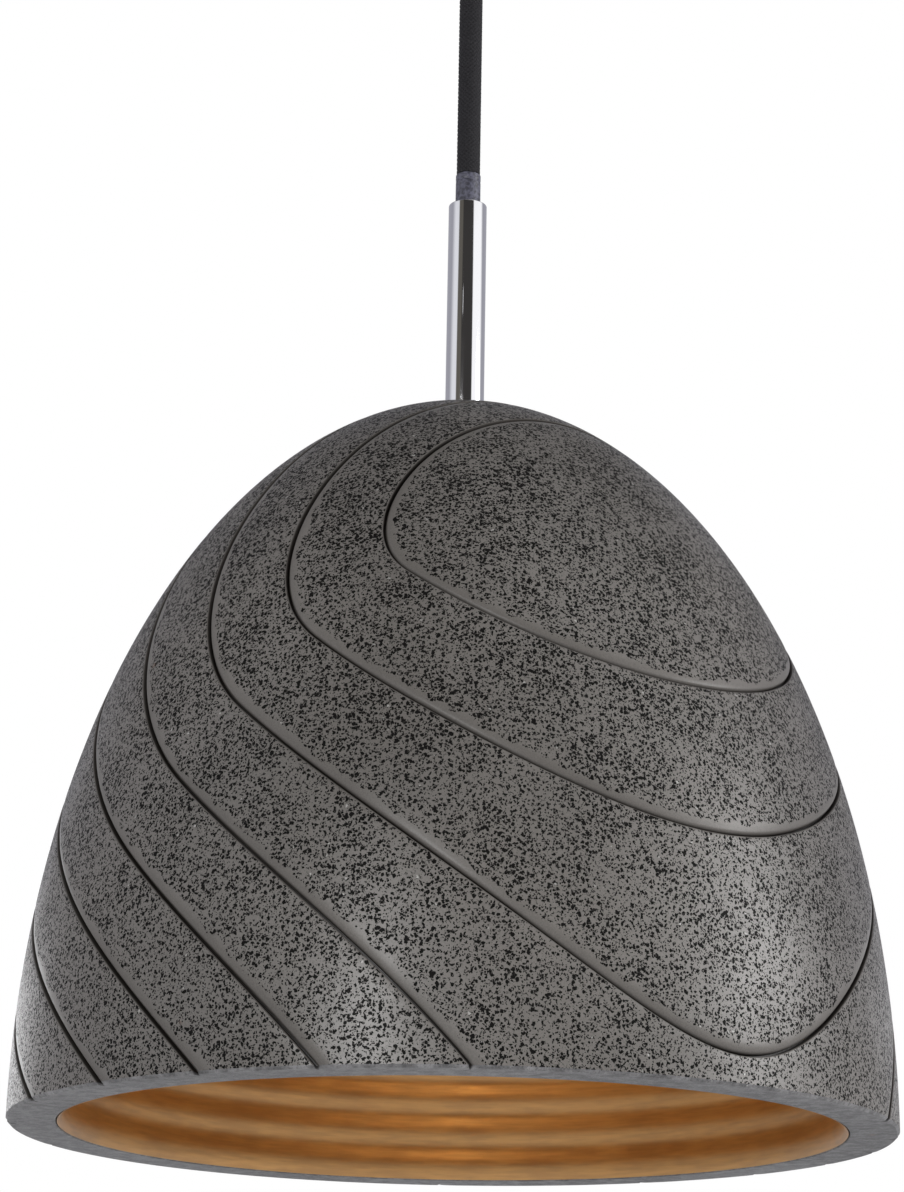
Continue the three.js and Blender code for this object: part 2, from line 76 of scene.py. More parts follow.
RIM_Z = low("shade_shell").z
RADIUS = high("shade_shell").x
DOME_HEIGHT = 225 * MM
CAVITY_RADIUS = 115.7 * MM
CAVITY_HEIGHT = 211 * MM
PIVOT = Vector(frame["joints"][0]["pos_m"])

# ---- camera

VIEW_DISTANCE = 7.0 * RADIUS  # level distance from the lamp's axis
VIEW_BELOW = 0.91 * RADIUS  # how far the camera stands below the rim
VIEW_PITCH = math.radians(17.32)
VIEW_ROLL = math.radians(1.0)
VIEW_ASIDE = -2.9 * MM
SENSOR = 36.0
FOCAL_IN_HEIGHTS = 3082 / 1192  # focal length, in frame heights


def make_camera():
    data = bpy.data.cameras.new("Camera")
    data.sensor_width = SENSOR
    data.lens = SENSOR * FOCAL_IN_HEIGHTS
    camera = bpy.data.objects.new("Camera", data)
    camera.location = (VIEW_ASIDE, -VIEW_DISTANCE, RIM_Z - VIEW_BELOW)
    level = Matrix.Rotation(math.pi / 2 + VIEW_PITCH, 4, "X")
    camera.rotation_euler = (level @ Matrix.Rotation(VIEW_ROLL, 4, "Z")).to_euler()
    bpy.context.scene.collection.objects.link(camera)
    bpy.context.scene.camera = camera
    bpy.context.scene.view_settings.view_transform = "Standard"


# ---- materials


class Nodes:
    """A node tree, with short ways to add and join its nodes."""

    def __init__(self, tree):
        self.tree = tree

    def add(self, kind, output=0, **inputs):
        """Adds a node. A key in capitals or a number is an input; any other is one of its settings."""
        made = self.tree.nodes.new("ShaderNode" + kind)
        for key, value in inputs.items():
            if key[0].islower():
                setattr(made, key, value)
        for key, value in inputs.items():
            if not key[0].islower():
                index = int(key[1:]) if key[0] == "_" else key.replace("_", " ")
                self.feed(made.inputs[index], value)
        return made.outputs[output]

    def feed(self, socket, value):
        if isinstance(value, bpy.types.NodeSocket):
            self.tree.links.new(value, socket)
        else:
            socket.default_value = value

    def place(self):
        """The object's own coordinates."""
        return self.add("TexCoord", output=3)

    def carried(self, name):
        """A number that the mesh's points carry."""
        return self.add("Attribute", output=2, attribute_name=name)

    def noise(self, scale, detail=3.0, where=None, roughness=0.5, colour=False):
        where = where or self.place()
        return self.add("TexNoise", output=1 if colour else 0, Vector=where, Scale=scale, Detail=detail,
                        Roughness=roughness)

    def ramp(self, value, start, end, low=0.0, high=1.0):
        """A smooth step of value from start to end, going from low to high."""
        return self.add("MapRange", interpolation_type="SMOOTHSTEP", Value=value, From_Min=start,
                        From_Max=end, To_Min=low, To_Max=high)

    def band(self, value, rise, fall):
        """1 where value is past the step called rise and short of the one called fall."""
        return self.times(self.ramp(value, *rise), self.ramp(value, *fall))

    def maths(self, operation, first, second):
        return self.add("Math", operation=operation, _0=first, _1=second)

    def times(self, first, second):
        return self.maths("MULTIPLY", first, second)

    def scaled(self, vector, factor):
        return self.add("VectorMath", operation="SCALE", _0=vector, Scale=factor)

    def mix(self, factor, first, second):
        return self.add("Mix", output=2, data_type="RGBA", Factor=factor, _6=first, _7=second)

    def bump(self, height, distance, strength=1.0, normal=None):
        made = self.add("Bump", Height=height, Distance=distance, Strength=strength)
        if normal:
            self.feed(made.node.inputs["Normal"], normal)
        return made

    def stretched(self, x, y, z):
        """The object's own coordinates, scaled along each axis."""
        return self.add("Mapping", Vector=self.place(), Scale=(x, y, z))


class Shader(Nodes):
    """A material, with its node tree."""

    def __init__(self, name, **values):
        self.material = bpy.data.materials.new(name)
        self.material.use_nodes = True
        super().__init__(self.material.node_tree)
        self.surface = self.tree.nodes["Principled BSDF"]
        self.set(**values)

    def set(self, **values):
        for socket, value in values.items():
            self.feed(self.surface.inputs[socket.replace("_", " ")], value)


def rgb(red, green, blue):
    return (red, green, blue, 1.0)


def specks(look, where, cell, size, seed, least=0.0):
    """A mask of scattered grains, 1 inside a grain. cell is their spacing and size their greatest radius,
    as a share of a cell. Each grain has its own size, at least a share of the greatest."""
    shifted = look.add("Mapping", Vector=where, Location=(seed, seed * 0.7, -seed))
    distance = look.add("TexVoronoi", Vector=shifted, Scale=1 / cell, Randomness=1.0)
    chance = look.add("SeparateColor", Color=distance.node.outputs[1])
    reach = look.times(look.ramp(chance, 0.0, 1.0, least, 1.0), size)
    return look.ramp(look.maths("SUBTRACT", reach, distance), -0.015, 0.03)


GRIT_LAYERS = (  # spacing, greatest size and seed
    (1.3 * MM, 0.48, 0.3),
    (0.96 * MM, 0.47, 1.7),
    (0.74 * MM, 0.44, 3.1),
)
GRIT = rgb(0.0045, 0.0042, 0.004)
PALE_GRAIN = rgb(0.50, 0.49, 0.47)
RUSTY_GRAIN = rgb(0.27, 0.16, 0.11)
# Painted shade: the near-black colour laid into the grooves' creases.
CREASE_SHADE_COLOUR = rgb(0.010, 0.007, 0.005)


def grain_masks(look, here, gritty):
    """Masks of the dark grit and of the few pale and rusty grains. gritty is 0 where there are none."""
    wobble = look.noise(1400, 2, here, colour=True)
    centred = look.add("VectorMath", operation="SUBTRACT", _0=wobble, _1=(0.5, 0.5, 0.5))
    where = look.add("VectorMath", operation="ADD", _0=here, _1=look.scaled(centred, 1.3 * MM))
    cluster = look.ramp(look.noise(55, 4, here), 0.3, 0.65, 0.86, 1.03)
    height = look.add("SeparateXYZ", output=2, Vector=here)
    # The grit is a little sparser towards the rim and denser towards the crown.
    grit_by_height = look.ramp(height, RIM_Z, RIM_Z + 0.9 * DOME_HEIGHT, 0.94, 1.07)
    density = look.times(grit_by_height, look.times(cluster, gritty))
    grit = None
    for cell, size, seed in GRIT_LAYERS:
        layer = specks(look, where, cell, look.times(density, size), seed, 0.45)
        grit = look.maths("MAXIMUM", grit, layer) if grit else layer
    pale = specks(look, where, 4.6 * MM, look.times(gritty, 0.095), 5.3)
    rusty = specks(look, where, 42 * MM, look.times(gritty, 0.026), 8.9)
    return grit, pale, rusty


def make_concrete(name, base, under=False):
    """Polished concrete full of dark grit. The rim's underside is rougher and mottled, with less grit."""
    look = Shader(name, IOR=1.5)
    here = look.place()
    bare = look.carried("bare")
    ragged = look.times(look.maths("SUBTRACT", look.noise(170, 3, here), 0.5), 1.5)
    gritty = look.ramp(look.maths("ADD", bare, ragged), 0.35, 0.6, 1.0, 0.0)
    grit, pale, rusty = grain_masks(look, here, gritty)
    tone = look.ramp(look.noise(11, 4, here), 0.3, 0.7, 0.88, 1.12)
    fine = look.ramp(look.noise(2600, 2, here), 0.25, 0.75, 0.88, 1.12)
    if under:
        grit = look.times(grit, 0.25)
        fine = look.times(fine, look.ramp(look.noise(260, 5, here, 0.65), 0.34, 0.66, 0.72, 1.55))
    colour = look.scaled(base, look.times(tone, fine))
    # Painted shade: the colour darkens with the groove's depth, to 0.6 at its bottom, and a little over the
    # grit-free band beside the groove.
    deep = look.ramp(look.carried("sunk"), 0.3, 1.2, 1.0, 0.6)
    colour = look.scaled(colour, look.times(deep, look.ramp(bare, 0.1, 0.9, 1.0, 0.88)))
    # The grit and the pale and rusty grains are the concrete's own colour; the last mask is painted shade, near
    # black, in the grooves' creases and on the edge just past them.
    for mask, strength, tint in (
        (grit, 0.98, GRIT),
        (pale, 0.6, PALE_GRAIN),
        (rusty, 0.8, RUSTY_GRAIN),
        (look.carried("crease_shade"), 1.0, CREASE_SHADE_COLOUR),
    ):
        colour = look.mix(look.times(mask, strength), colour, tint)
    worn = look.ramp(look.noise(17, 3, here), 0.35, 0.7, 0.37, 0.52)
    pits = look.bump(look.times(grit, -1.0), 0.06 * MM, 0.5)
    grain = look.bump(look.noise(3200, 3, here), 0.05 * MM, 0.6 if under else 0.35, pits)
    dull = look.ramp(bare, 0.1, 0.7, 1.0, 0.5)
    gloss = look.times(dull, look.ramp(grit, 0.0, 1.0, 0.5, 0.04))
    rough = look.maths("ADD", worn, look.times(grit, 0.05))
    look.set(Base_Color=colour, Roughness=rough, Normal=grain, Specular_IOR_Level=gloss)
    return look.material


def make_metal(name, colour, roughness, streaks, depth=0.01 * MM):
    """Metal with a slightly uneven polish and fine marks. streaks is how close they are along each axis."""
    look = Shader(name, Metallic=1.0, Base_Color=rgb(*colour))
    marks = look.noise(1.0, 3, look.stretched(*streaks))
    spread = look.ramp(look.noise(60, 4), 0.3, 0.75, roughness * 0.8, roughness * 1.5)
    look.set(Roughness=look.maths("ADD", spread, look.times(marks, roughness * 0.4)))
    look.set(Normal=look.bump(marks, depth, 0.5))
    return look.material


def make_gold():
    """Brushed-on gold over the ribbed inside: warm, uneven, with faint strokes round the axis."""
    look = Shader("Gold lining", Metallic=0.6, Coat_Weight=1.0, Coat_Roughness=0.42, Coat_IOR=1.5)
    strokes = look.noise(1.0, 4, look.stretched(90, 90, 900))
    cloud = look.noise(45, 4)
    grain = look.noise(1800, 2)
    tone = look.maths("ADD", look.times(strokes, 0.5), look.times(cloud, 0.5))
    deep, bright = rgb(0.46, 0.236, 0.066), rgb(0.62, 0.33, 0.092)
    look.set(Base_Color=look.mix(look.ramp(tone, 0.35, 0.65), deep, bright))
    look.set(Roughness=look.ramp(cloud, 0.3, 0.7, 0.34, 0.46))
    height = look.maths("ADD", strokes, look.times(grain, 0.4))
    look.set(Normal=look.bump(height, 0.05 * MM, 0.6))
    return look.material


def make_plastic(name, colour, roughness, grain=0.02 * MM, wear=0.08):
    """Moulded plastic: a fine spark-eroded grain and slightly uneven colour and gloss."""
    look = Shader(name, IOR=1.49)
    patches = look.ramp(look.noise(900, 4), 0.35, 0.65, 1 - wear, 1 + wear)
    look.set(Base_Color=look.scaled(colour, patches))
    look.set(Roughness=look.ramp(look.noise(120, 3), 0.3, 0.7, roughness * 0.85, roughness * 1.15))
    look.set(Normal=look.bump(look.noise(2600, 2), grain, 0.6))
    return look.material


def make_braid():
    """Black yarn made of fine fibres, with a painted highlight: paler, speckled colour on the strands' crowns."""
    look = Shader("Textile braid", Roughness=0.8, Sheen_Weight=0.12, Sheen_Roughness=0.4,
                    Sheen_Tint=rgb(0.5, 0.5, 0.55), Specular_IOR_Level=0.22)
    fibres = look.noise(5200, 3)
    # Painted highlight: the strands' crowns are paler, speckled by the fibres.
    worn = look.times(look.carried("crown"), look.ramp(fibres, 0.35, 0.65, 0.25, 2.0))
    look.set(Base_Color=look.mix(worn, rgb(0.002, 0.002, 0.0025), rgb(0.026, 0.025, 0.028)))
    look.set(Normal=look.bump(fibres, 0.05 * MM, 0.8))
    return look.material


def make_ceramic():
    look = Shader("Ceramic", Roughness=0.5, IOR=1.5)
    look.set(Base_Color=look.mix(look.noise(300, 4), rgb(0.74, 0.70, 0.62), rgb(0.86, 0.83, 0.77)))
    look.set(Normal=look.bump(look.noise(1500, 3), 0.03 * MM, 0.5))
    return look.material


def make_glass():
    """Thin tinted glass: it lets the light straight through, and shows at its edges."""
    look = Shader("Bulb glass", Base_Color=rgb(0.55, 0.40, 0.22), IOR=1.45)
    facing = look.add("LayerWeight", output=1, Blend=0.35)
    look.set(Alpha=look.ramp(facing, 0.0, 1.0, 0.07, 0.8))
    look.set(Roughness=look.ramp(look.noise(35, 3), 0.4, 0.8, 0.02, 0.07))
    return look.material


def make_phosphor():
    """The lit coating of the bulb's filaments."""
    look = Shader("LED phosphor", Roughness=0.6, Emission_Color=rgb(1.0, 0.78, 0.45),
                    Emission_Strength=28.0)
    look.set(Base_Color=look.mix(look.noise(1500, 3), rgb(0.85, 0.45, 0.08), rgb(1.0, 0.66, 0.22)))
    return look.material


PLASTICS = {  # each slot's name, colour and roughness, then any grain and unevenness
    "black_plastic": ("Black plastic", (0.014, 0.014, 0.015), 0.38),
    "white_plastic": ("White plastic", (0.78, 0.77, 0.73), 0.4),
    "sheath_plastic": ("Cable sheath", (0.02, 0.02, 0.02), 0.5),
    "live_wire": ("Brown wire", (0.13, 0.05, 0.02), 0.45),
    "neutral_wire": ("Blue wire", (0.02, 0.10, 0.36), 0.45),
    "earth_wire": ("Green and yellow wire", (0.16, 0.36, 0.04), 0.45),
    "rubber_washer": ("Rubber", (0.02, 0.02, 0.02), 0.75, 0.05 * MM),
    "collar_plastic": ("Collar plastic", (0.066, 0.066, 0.092), 0.42, 0.12 * MM, 0.5),
}
METALS = {  # each slot's name, colour, roughness, closeness of marks and their depth
    "chrome_plate": ("Chrome plate", (0.66, 0.66, 0.68), 0.05, (300, 300, 40), 0.002 * MM),
    "zinc_steel": ("Zinc-plated steel", (0.62, 0.63, 0.64), 0.3, (60, 1500, 400)),
    "brass_parts": ("Brass", (0.80, 0.58, 0.26), 0.24, (300, 300, 2500)),
    "bulb_metal": ("Bulb metal", (0.78, 0.78, 0.77), 0.22, (900, 900, 60)),
}


def make_finishes():
    """One material for each of the record's slots."""
    made = {slot: make_plastic(*facts) for slot, facts in PLASTICS.items()}
    made.update({slot: make_metal(*facts) for slot, facts in METALS.items()})
    made["concrete"] = make_concrete("Terrazzo concrete", (0.137, 0.127, 0.117))
    made["gold_lining"] = make_gold()
    made["insert_ceramic"] = make_ceramic()
    made["textile_braid"] = make_braid()
    made["bulb_glass"] = make_glass()
    made["led_filament"] = make_phosphor()
    return made


finishes = make_finishes()


# ---- mesh making


def mesh_piece(name, points, faces, material, sharp):
    """A piece from its points and faces, smooth except where faces meet at more than sharp degrees."""
    mesh = bpy.data.meshes.new(name)
    mesh.from_pydata([tuple(p) for p in points], [], [tuple(int(i) for i in f) for f in faces])
    mesh.validate()
    mesh.update()
    mesh.shade_smooth()
    mesh.set_sharp_from_angle(angle=math.radians(sharp))
    mesh.materials.append(material)
    piece = bpy.data.objects.new(name.replace(" ", "_"), mesh)
    bpy.context.scene.collection.objects.link(piece)
    return piece


def stands_for(piece, node):
    """The piece rides on the node's body and hides the node."""
    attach(piece, body_of[node])
    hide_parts(node)
    return piece


def stand_in(name, points, faces, sharp=35, node=None):
    """A piece in place of the CAD node of the same name, or of another, with its slot's finish."""
    node = node or name.lower().replace(" ", "_")
    return stands_for(mesh_piece(name, points, faces, finishes[slot_of[node]], sharp), node)


def carry(piece, name, numbers):
    """Gives each of the piece's points a number, which its material reads."""
    layer = piece.data.attributes.new(name, "FLOAT", "POINT")
    layer.data.foreach_set("value", np.array(numbers, np.float32))


def heights(node):
    """The heights of a CAD node's foot and top."""
    return low(node).z, high(node).z


def above(base, *corners):
    """Points of an outline, from radii and heights above the base in millimetres."""
    return [(radius * MM, base + height * MM) for radius, height in corners]


def arc(radius, height, wide, tall, first, last, count):
    """Points of an outline on an ellipse round a point. Angles are degrees, from straight down."""
    turns = np.linspace(math.radians(first), math.radians(last), count)
    return [(radius + wide * math.sin(a), height - tall * math.cos(a)) for a in turns]


def pairs(count):
    """Each index round a ring, with the next one."""
    return [(k, (k + 1) % count) for k in range(count)]


CURVE_POINTS = 4  # on each rounded corner


def rounded(outline, radius):
    """The closed outline with each corner turned into a small curve of about that radius."""
    made = []
    count = len(outline)
    for i, corner in enumerate(outline):
        corner = np.array(corner, float)
        if corner[0] < 1e-9:
            made.append(tuple(corner))
            continue
        sides = []
        for other in (outline[i - 1], outline[(i + 1) % count]):
            way = np.array(other, float) - corner
            length = np.linalg.norm(way)
            sides.append(corner + way / length * min(radius, 0.45 * length))
        for t in np.linspace(0, 1, CURVE_POINTS):
            made.append(tuple((1 - t) ** 2 * sides[0] + 2 * t * (1 - t) * corner + t**2 * sides[1]))
    return made


def turned_mesh(outline, segments, shape=None):
    """Points and faces of a closed outline of (radius, height) turned about the Z axis. A point on the axis
    becomes one point. shape(radius, height, angle) may change a point's radius."""
    rings, points = [], []
    for radius, height in outline:
        if radius < 1e-9:
            rings.append([len(points)] * segments)
            points.append((0.0, 0.0, height))
            continue
        rings.append(list(range(len(points), len(points) + segments)))
        for k in range(segments):
            angle = 2 * math.pi * k / segments
            here = shape(radius, height, angle) if shape else radius
            points.append((here * math.cos(angle), here * math.sin(angle), height))
    faces = []
    for i, ring in enumerate(rings):
        after = rings[(i + 1) % len(rings)]
        if ring[0] == ring[1] and after[0] == after[1]:
            continue
        for k, n in pairs(segments):
            face = [ring[k], ring[n], after[n], after[k]]
            faces.append([v for j, v in enumerate(face) if v != face[j - 1]])
    return points, faces


def turned(name, outline, segments=96, soft=0.25 * MM, shape=None, node=None):
    """A turned piece in place of a CAD node. The outline goes anticlockwise, the axis on its left."""
    points, faces = turned_mesh(rounded(outline, soft) if soft else outline, segments, shape)
    return stand_in(name, points, faces, node=node)


# ---- the shade's grooves

# The dome is ruled by nested layers. Across the dome they are flat and tilted; towards the top of the far
# side they curl round. Lengths here are in rim radii, measured from the middle of the rim's plane.
LAYER_FACING = math.radians(-46.6)  # the compass direction in which the layers rise
LAYER_TILT = math.radians(52.0)
LAYER_LEAN = 0.573  # how the layers drift sideways
LAYER_BOW = -0.053
FIRST_LAYER = 1.2203
LAYER_PITCH = 0.1804
CURL = 1.263
CURL_FROM = 0.294
DIP = 1.079  # the layers sag near the rim, most on this side
DIP_FACING = math.radians(-50.1)
DIP_BELOW = 0.837
DIP_EVERYWHERE = 0.123
GROOVES = 10

BEVEL = 3.4  # groove section, in millimetres across the groove
BEVEL_SINK = 0.55
FALL_FROM, FALL_TO = -1.4, -0.3  # the bevel falls to the crease here
FALL = 0.8
CREASE_FROM, CREASE_TO = -0.3, 0.16
CREASE_DEPTH = 2.0
WALL = 0.06  # how far the crease's sides lean
LIP, LIP_SINK = 0.45, 0.2  # the worn edge past the crease
GRIT_TO, BARE_FROM = -4.8, -0.9  # the grit thins out towards the groove
GRIT_AGAIN, GRIT_FADE = 0.6, 0.3
CUT_LINES = (GRIT_TO, -BEVEL, -2.2, FALL_FROM, -1.1, -0.85, -0.6, -0.45, CREASE_FROM, CREASE_FROM + WALL,
             CREASE_TO, CREASE_TO + WALL, CREASE_TO + 0.28, CREASE_TO + WALL + LIP)


def layer_at(points):
    """The layer number of points on the dome, in rim radii. Whole numbers are grooves."""
    x, y, z = points[..., 0], points[..., 1], points[..., 2]
    forward = x * math.cos(LAYER_FACING) + y * math.sin(LAYER_FACING)
    aside = y * math.cos(LAYER_FACING) - x * math.sin(LAYER_FACING)
    rise = forward * math.cos(LAYER_TILT) + z * math.sin(LAYER_TILT)
    along = z * math.cos(LAYER_TILT) - forward * math.sin(LAYER_TILT)
    curl = CURL * np.maximum(0, along - CURL_FROM) ** 2 + 1e-6
    uncurled = (np.sqrt(np.maximum(1 + 4 * curl * rise, 0.01)) - 1) / (2 * curl)
    facing = (x * math.cos(DIP_FACING) + y * math.sin(DIP_FACING)) ** 2 / np.maximum(x**2 + y**2, 1e-9)
    dip = DIP * (facing + DIP_EVERYWHERE) * np.maximum(0, 1 - z / DIP_BELOW) ** 2
    return (FIRST_LAYER - uncurled) / LAYER_PITCH - dip + LAYER_LEAN * aside + LAYER_BOW * aside**2


def dome_points(turn, lift):
    """Points of the dome's outside, in rim radii, from an angle round it and an angle up it."""
    wide = np.cos(lift)
    height = DOME_HEIGHT / RADIUS
    return np.stack([wide * np.cos(turn), wide * np.sin(turn), height * np.sin(lift)], -1)


def dome_normals(turn, lift):
    height = DOME_HEIGHT / RADIUS
    wide = np.cos(lift) * height
    made = np.stack([wide * np.cos(turn), wide * np.sin(turn), np.sin(lift)], -1)
    return made / np.linalg.norm(made, axis=-1, keepdims=True)


def layer_slope(turn, lift):
    """How fast the layer number changes along the dome's surface, for each rim radius."""
    step = 1e-4
    here = dome_points(turn, lift)
    level = layer_at(here)
    total = 0
    for other in (dome_points(turn + step, lift), dome_points(turn, lift + step)):
        distance = np.maximum(np.linalg.norm(other - here, axis=-1), 1e-9)
        total = total + ((layer_at(other) - level) / distance) ** 2
    return np.sqrt(total)


def groove_section(across):
    """Depth below the dome's surface, in millimetres, at a distance across the groove. The near side sinks
    softly, then falls to a thin crease. The far side stands up straight to a worn edge."""
    slope = np.clip((across + BEVEL) / BEVEL, 0, 1)
    fall = np.clip((across - FALL_FROM) / (FALL_TO - FALL_FROM), 0, 1)
    floor = BEVEL_SINK * slope**1.5 + FALL * fall**2
    lip = LIP_SINK * np.clip(1 - (across - CREASE_TO - WALL) / LIP, 0, 1) ** 2
    in_crease = (across > CREASE_FROM + WALL / 2) & (across < CREASE_TO + WALL / 2)
    return np.where(in_crease, CREASE_DEPTH, np.where(across < 0, floor, lip))


def groove_crease_shade(across):
    """How much painted shade darkens the groove at a distance across it, from 0 to 1: it rises to 1 in the crease,
    and is about half on the edge just past it.
    """
    before = np.clip((across - CREASE_FROM) / 0.4 + 1, 0, 1) ** 1.5
    after = 0.55 * np.clip(1 - (across - CREASE_TO - WALL) / 0.3, 0, 1)
    return np.where(across < CREASE_TO + WALL / 2, before, after)


def groove_bare(across):
    """How free of grit it is at a distance across the groove, from 0 to 1."""
    before = (across - GRIT_TO) / (BARE_FROM - GRIT_TO)
    return np.clip(np.minimum(before, (GRIT_AGAIN - across) / GRIT_FADE), 0, 1)


ON_THE_LINE = 0.02  # millimetres from a cut line


def cut_along(values, faces, column, level):
    """Splits the triangles that cross a level of one column of values, so that edges lie on that line.
    values has a row for each point, and a new point's row is mixed from its edge's two ends."""
    field = values[:, column] - level
    side = np.where(np.abs(field) < ON_THE_LINE, 0, np.sign(field)).astype(int)
    corners = side[faces]
    crossed = (corners.min(1) < 0) & (corners.max(1) > 0)
    kept, work = faces[~crossed], faces[crossed]
    if not len(work):
        return values, faces
    ends = np.concatenate([work[:, [0, 1]], work[:, [1, 2]], work[:, [2, 0]]])
    ends = np.unique(np.sort(ends[side[ends[:, 0]] * side[ends[:, 1]] < 0], 1), axis=0)
    a, b = ends[:, 0], ends[:, 1]
    share = (field[a] / (field[a] - field[b]))[:, None]
    fresh = values[a] * (1 - share) + values[b] * share
    fresh[:, column] = level
    number = {(int(p), int(q)): len(values) + i for i, (p, q) in enumerate(ends)}
    made = []
    for face in work:
        ring = []
        for i in range(3):
            p, q = int(face[i]), int(face[(i + 1) % 3])
            ring.append((p, side[p]))
            new = number.get((min(p, q), max(p, q)))
            if new is not None:
                ring.append((new, 0))
        for wanted in (-1, 1):
            part = [v for v, s in ring if s in (0, wanted)]
            made += [(part[0], part[i], part[i + 1]) for i in range(1, len(part) - 1)]
    return np.vstack([values, fresh]), np.vstack([kept, np.array(made, int)])


def grooved_dome(turns, lifts, start, end):
    """The dome's outside with its grooves: rows of (turn, lift, groove distances...) and triangles."""
    turn = np.linspace(math.pi / 2, 5 * math.pi / 2, turns + 1)
    lift = start + (end - start) * np.linspace(0, 1, lifts + 1)
    grid_turn, grid_lift = np.meshgrid(turn, lift)
    flat_turn, flat_lift = grid_turn.ravel(), grid_lift.ravel()
    level = layer_at(dome_points(flat_turn, flat_lift))
    slope = layer_slope(flat_turn, flat_lift)
    scale = RADIUS / MM
    across = [(level - n) / slope * scale for n in range(GROOVES)]
    values = np.stack([flat_turn, flat_lift, *across], 1)
    index = np.arange(len(values)).reshape(lifts + 1, turns + 1)
    p, q = index[:-1, :-1].ravel(), index[:-1, 1:].ravel()
    r, s = index[1:, 1:].ravel(), index[1:, :-1].ravel()
    faces = np.vstack([np.stack([p, q, r], 1), np.stack([p, r, s], 1)])
    for n in range(GROOVES):
        for line in CUT_LINES:
            values, faces = cut_along(values, faces, 2 + n, line)
    return values, faces


def carry_on(points, faces, edge, stations, flip):
    """Carries a surface on from its edge, ring by ring. A station is the ring's radius and height, or
    steps from the edge's own."""
    ring = edge
    for kind, out, up in stations:
        fresh = []
        for start in edge:
            x, y, z = points[start]
            radius = math.hypot(x, y)
            wanted, height = (radius + out, z + up) if kind == "by" else (out, up)
            fresh.append(len(points))
            points.append((x * wanted / radius, y * wanted / radius, height))
        for k in range(len(ring) - 1):
            quad = [ring[k], fresh[k], fresh[k + 1], ring[k + 1]]
            faces.append(quad[::-1] if flip else quad)
        ring = fresh


CHAMFER = 0.8 * MM
CROWN_HOLE = 5.4 * MM


def make_shade():
    """The concrete casting: grooved outside, flat rim underneath, plain inside, and a hole in the crown."""
    first = math.asin(CHAMFER / DOME_HEIGHT)
    last = math.acos(7.5 * MM / RADIUS)
    values, faces = grooved_dome(300, 130, first, last)
    turn, lift, across = values[:, 0], values[:, 1], values[:, 2:]
    sunk, bare, crease_shade = (rule(across).max(axis=1) for rule in (groove_section, groove_bare, groove_crease_shade))
    points = dome_points(turn, lift) * RADIUS - dome_normals(turn, lift) * (sunk * MM)[:, None]
    points = [tuple(p) for p in points]
    faces = [list(f) for f in faces]
    foot = sorted(np.flatnonzero(lift <= first + 1e-9), key=lambda i: turn[i])
    crown = sorted(np.flatnonzero(lift >= last - 1e-9), key=lambda i: turn[i])
    inside = [("by", -CHAMFER, -CHAMFER), ("to", CAVITY_RADIUS + 0.3 * MM, 0.0)]
    inside.append(("to", CAVITY_RADIUS - 0.02 * MM, 0.3 * MM))
    for up in np.linspace(0.15, 1.35, 9):
        inside.append(("to", CAVITY_RADIUS * math.cos(up), CAVITY_HEIGHT * math.sin(up)))
    under_from = len(faces)
    carry_on(points, faces, foot, inside, False)
    under_to = len(faces)
    top = points[crown[0]][2]
    hole = [("to", 5.8 * MM, top - 0.05 * MM), ("to", CROWN_HOLE, top - 0.5 * MM)]
    hole.append(("to", CROWN_HOLE, CAVITY_HEIGHT * 0.97))
    carry_on(points, faces, crown, hole, True)
    piece = mesh_piece("Shade casting", points, faces, finishes["concrete"], 32)
    piece.data.materials.append(make_concrete("Concrete rim", (0.150, 0.148, 0.150), under=True))
    for polygon in piece.data.polygons[under_from:under_to]:
        polygon.material_index = 1
    # The points carry the groove's depth, its grit-free band, and the painted shade for its crease.
    for name, numbers in (("bare", bare), ("sunk", sunk), ("crease_shade", crease_shade)):
        carry(piece, name, np.pad(numbers, (0, len(points) - len(numbers))))
    work = bmesh.new()
    work.from_mesh(piece.data)
    bmesh.ops.remove_doubles(work, verts=work.verts, dist=1e-7)
    work.to_mesh(piece.data)
    work.free()
    piece.data.transform(Matrix.Translation((0, 0, RIM_Z)))
    stands_for(piece, "shade_shell")


# ---- the gold lining

RIB_PITCH = 10.6 * MM
RIB_DEPTH = 1.1 * MM
LINING_THICKNESS = 1.0 * MM
LINING_FOOT = 0.25 * MM  # its height above the rim, and its gap to the cavity there
LINING_POINTS = 240


def lining_curve(inset, ribs):
    """The lining's outline from its foot to its crown, a distance inside the cavity."""
    wide, tall = CAVITY_RADIUS - inset, CAVITY_HEIGHT - inset
    crown = high("reflector_lining").z - RIM_Z
    first, last = math.asin(LINING_FOOT / tall), math.asin(min(1.0, (crown - inset) / tall))
    made = []
    for i in range(LINING_POINTS + 1):
        lift = first + (last - first) * i / LINING_POINTS
        radius, height = wide * math.cos(lift), tall * math.sin(lift)
        if ribs:
            wave = 0.5 - 0.5 * math.cos(2 * math.pi * height / RIB_PITCH)
            radius -= RIB_DEPTH * wave**0.8
            radius += (inset - LINING_FOOT) * max(0, 1 - height / (1.6 * MM)) ** 2
        made.append((radius, height + RIM_Z))
    return made


def make_lining():
    inner = lining_curve(0.4 * MM + LINING_THICKNESS * 0.7, True)
    outer = lining_curve(0.4 * MM, False)[::12]
    hole = 6 * MM
    crown = high("reflector_lining").z
    outline = outer + [(hole, crown), (hole, crown - LINING_THICKNESS)] + inner[::-1]
    turned("Ribbed gold lining", outline, 160, soft=0, node="reflector_lining")


# ---- the cord

CORD_RADIUS = 3.8 * MM
STRANDS = 16
BRAID_RELIEF = 0.42 * MM
BRAID_SIDES = 112
BRAID_STEP = 0.24 * MM
CAP_RINGS = 8  # on each end of a braided tube


